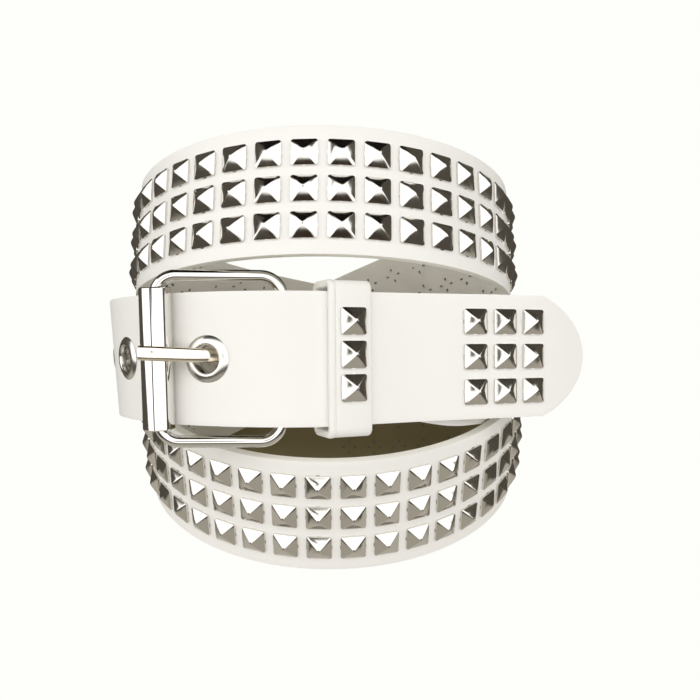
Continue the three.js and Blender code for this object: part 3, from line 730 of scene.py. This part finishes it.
def makeProng():
    eye = belt["wire"] / 2 + belt["clearance"] + prong["thickness"] / 2
    over = roller["diameter"] / 2 + belt["clearance"] + prong["thickness"] / 2
    path = []
    for i in range(prong["hookSteps"] + 1):
        angle = math.radians(prong["hookStart"] - (prong["hookStart"] + 90) * i / prong["hookSteps"])
        path.append(hinge + Vector((eye * math.cos(angle), 0, eye * math.sin(angle))))
    reach = eyelets["flange"] + belt["clearance"]
    middle, along = frameOver(eyeletPlaces[0] - reach, eyeletPlaces[0] + reach)[:2]
    hole = middle + along * prong["shift"]
    hole.y = hinge.y
    climb = math.radians(prong["climb"])
    rise = Vector((-math.cos(climb), 0, math.sin(climb)))
    path += [hole - rise * prong["reach"], hole + rise * prong["reach"]]
    fromAxis = path[-1] - rollerAxis
    touch = math.atan2(fromAxis.z, fromAxis.x) + math.acos(over / fromAxis.length)
    for share in (0, 0.5, 1):
        angle = touch + (math.pi / 2 - touch) * share
        path.append(rollerAxis + Vector((over * math.cos(angle), 0, over * math.sin(angle))))
    path.append(path[-1] + Vector((-prong["overhang"], 0, 0)))
    bm = bmesh.new()
    section = ovalSection(prong["width"], prong["thickness"], prong["sides"], prong["power"])
    sweepSection(bm, pathSpots(cutCorners(path, 2), yAxis, False), section, False)
    yaw = Matrix.Rotation(math.radians(prong["yaw"]), 3, "Z")
    bmesh.ops.rotate(bm, cent=hinge, matrix=yaw, verts=bm.verts)
    ends = [e for e in bm.edges if e.calc_face_angle(0) > math.radians(60)]
    bmesh.ops.bevel(bm, geom=ends, offset=prong["endRound"], offset_type="OFFSET", segments=2,
                    profile=0.5, affect="EDGES", clamp_overlap=True, material=-1)
    finishPiece(bm, "prong", [prongPlate], ["prong"], smoothAngle=50)


makeFrame()
makeRoller()
makeProng()
print("buckle made")


keeper = {
    "width": 13, "thickness": 2, "corner": 1.9, "cornerSteps": 6,
    "fromHinge": 19.2,          # along the strap
    "slack": 1.4,               # air beside the strap's edges
    "studPitch": 9.4,
    "studShift": 0.6,           # from the keeper's middle, along the strap
    "studRise": 1.2,            # and across it
    "foldWidth": 1.9,           # the turned edge on the side towards the buckle
    "seamDepth": 0.3,
}


def makeKeeper():
    spot = overHinge + keeper["fromHinge"]
    centre, along, width, out = frameOver(spot - keeper["width"] / 2, spot + keeper["width"] / 2)
    above = belt["thickness"] / 2 + belt["clearance"]
    below = above + 2 * (plyPitch + belt["clearance"])
    loop = roundedLoop(centre + out * (above - below) / 2, width, out,
                       belt["width"] + 2 * keeper["slack"] + keeper["thickness"],
                       above + below + keeper["thickness"], keeper["corner"], keeper["cornerSteps"])
    half, wall = keeper["width"] / 2, keeper["thickness"] / 2
    seam, deep = -half + keeper["foldWidth"], keeper["seamDepth"]
    section = [  # along the strap, outwards
        (-half, -wall + 0.3), (-half, wall - 0.5), (-half + 0.25, wall - 0.12), (-half + 0.7, wall),
        (seam - 0.5, wall), (seam - 0.15, wall - 0.1), (seam, wall - deep), (seam + 0.15, wall - 0.25),
        (seam + 0.5, wall - 0.14), (seam + 2, wall - 0.12), (half - 0.7, wall - 0.12),
        (half - 0.25, wall - 0.25), (half, wall - 0.6), (half, -wall + 0.3), (half - 0.3, -wall),
        (-half + 0.3, -wall)]
    bm = bmesh.new()
    sweepSection(bm, pathSpots(loop, -along, True), [(-a, b) for a, b in section], True)
    finishPiece(bm, "keeper", [leather], ["keeper"], smoothAngle=60)
    for row, offset in enumerate(rowOffsets(keeper["studPitch"])):
        seat = (centre + along * keeper["studShift"] + width * (offset + keeper["studRise"])
                + out * (above + keeper["thickness"] - stud["sink"]))
        bm = bmesh.new()
        addCopy(bm, studTemplate, seat, along, width, out)
        finishPiece(bm, f"keeperStud{row + 1}", [studPlate], [f"keeper_stud_{row + 1}"],
                    stud["smoothAngle"])


makeKeeper()
print("keeper made")


# The room's light by direction. A slope is the sideways part of a direction over its upward part, and a pair
# is where one tone fades into the next.
studio = {
    "tableSeen": "#FEFFFA",     # the table and all beyond it, to the camera
    "panel": 1.68,              # brightness of the soft light overhead
    "panelTint": (1.0, 0.998, 0.988),
    "panelRight": (2.92, 3.12), "panelUp": (1.12, 1.3), "panelDown": (-0.46, -0.36),  # its ends, as slopes
    "right": "#5F5A50",         # tone past its right end
    "upSide": "#4B463E",        # past its upper end, a wedge with a darker one inside it
    "upDark": "#15130F",
    "upSpread": 1.2, "darkSpread": 0.6,  # widths of the wedges over their distance
    "strip": "#3A2E24",         # past its lower end, a brown strip
    "down": "#B4AFA4",          # and a paler tone beyond the strip
    "stripEnd": (0.3, 0.6), "downEnd": (-0.68, -0.6),
    "lowSide": "#57524A",       # low down all round, with a pale side and a dark wedge
    "lowDown": "#C4BFB4",
    "lowUp": "#1A1714",
    "lowSpread": 0.42, "lowEnd": (-0.5, -0.2), "horizon": (0.03, 0.12),
    "wedgeEdge": (-0.05, 0.05),
    "lens": "#3A362F",          # the camera's own dark front, a soft oval
    "lensSpot": (-0.125, 0.09), "lensReach": (0.07, 0.12), "lensEdge": (0.5, 1.4),
    "bounce": 0.95,             # brightness of the pale table, for matt surfaces only
    "bounceTint": (1.0, 1.0, 0.96),
}


def makeFloor():
    bm = bmesh.new()
    bmesh.ops.create_grid(bm, x_segments=1, y_segments=1, size=2.0)
    mesh = bpy.data.meshes.new("table")
    bm.to_mesh(mesh)
    bm.free()
    material, tree = newMaterial("paleTable")
    seen = addNode(tree, "ShaderNodeLightPath").outputs["Is Camera Ray"]
    pale = addNode(tree, "ShaderNodeEmission", {}, {
        "Color": toLinear(studio["tableSeen"]), "Strength": 1.0})
    through = addNode(tree, "ShaderNodeBsdfTransparent")
    mixed = addNode(tree, "ShaderNodeMixShader", {}, {0: seen, 1: through.outputs[0], 2: pale.outputs[0]})
    addNode(tree, "ShaderNodeOutputMaterial", {}, {"Surface": mixed.outputs[0]})
    mesh.materials.append(material)
    table = bpy.data.objects.new("table", mesh)
    scene.collection.objects.link(table)


# A soft light panel over the table in a darker room
def makeStudio():
    world = bpy.data.worlds.new("studio")
    scene.world = world
    world.use_nodes = True
    tree = world.node_tree
    tree.nodes.clear()

    def combine(operation, a, b):
        return addNode(tree, "ShaderNodeMath", {"operation": operation}, {0: a, 1: b}).outputs[0]

    def size(value):
        return combine("ABSOLUTE", value, 0.0)

    def fade(value, ends):
        return addNode(tree, "ShaderNodeMapRange", {"interpolation_type": "SMOOTHSTEP"}, {
            "Value": value, "From Min": ends[0], "From Max": ends[1]}).outputs[0]

    def blend(factor, below, above):
        below, above = (toLinear(c) if isinstance(c, str) else c for c in (below, above))
        return addNode(tree, "ShaderNodeMix", {"data_type": "RGBA"}, {
            0: factor, 6: below, 7: above}).outputs[2]

    # a wedge about the +Y direction that widens with its distance
    def wedge(across, away, spread):
        rest = combine("SUBTRACT", combine("MULTIPLY", away, spread), size(across))
        return fade(rest, studio["wedgeEdge"])

    def glow(name):
        return tuple(studio[name] * c for c in studio[name + "Tint"]) + (1.0,)

    ray = addNode(tree, "ShaderNodeTexCoord").outputs["Generated"]
    x, y, z = addNode(tree, "ShaderNodeSeparateXYZ", {}, {0: ray}).outputs
    height = combine("MAXIMUM", z, 0.02)
    slopeX, slopeY = combine("DIVIDE", x, height), combine("DIVIDE", y, height)

    high = blend(fade(slopeX, studio["panelRight"]), glow("panel"), studio["right"])
    strip = blend(fade(size(x), studio["stripEnd"]), studio["strip"], studio["lowSide"])
    high = blend(fade(slopeY, studio["panelDown"]), strip, high)
    high = blend(fade(y, studio["downEnd"]), studio["down"], high)
    far = fade(slopeY, studio["panelUp"])
    for spread, tone in (("upSpread", "upSide"), ("darkSpread", "upDark")):
        inside = combine("MULTIPLY", wedge(slopeX, slopeY, studio[spread]), far)
        high = blend(inside, high, studio[tone])

    offsets = [combine("DIVIDE", combine("SUBTRACT", slope, spot), reach)
               for slope, spot, reach in zip((slopeX, slopeY), studio["lensSpot"], studio["lensReach"])]
    fromLens = combine("ADD", *(combine("POWER", offset, 2.0) for offset in offsets))
    high = blend(fade(fromLens, studio["lensEdge"]), studio["lens"], high)

    low = blend(fade(y, studio["lowEnd"]), studio["lowDown"], studio["lowSide"])
    low = blend(wedge(x, y, studio["lowSpread"]), low, studio["lowUp"])
    rays = addNode(tree, "ShaderNodeLightPath")
    low = blend(rays.outputs["Is Diffuse Ray"], low, glow("bounce"))
    room = blend(fade(z, studio["horizon"]), low, high)
    colour = blend(rays.outputs["Is Camera Ray"], room, studio["tableSeen"])
    back = addNode(tree, "ShaderNodeBackground", {}, {"Color": colour, "Strength": 1.0})
    addNode(tree, "ShaderNodeOutputWorld", {}, {"Surface": back.outputs[0]})


def makeCamera():
    view = {"place": (4.513, 2.063, 305.73), "lens": 36.82, "sensor": 36}
    lens = bpy.data.cameras.new("camera")
    lens.lens = view["lens"]
    lens.sensor_width = view["sensor"]
    lens.clip_start = 0.01
    camera = bpy.data.objects.new("camera", lens)
    camera.location = Vector(view["place"]) * mm
    scene.collection.objects.link(camera)
    scene.camera = camera


makeFloor()
makeStudio()
makeCamera()
scene.view_settings.view_transform = "Standard"
print("studio made")
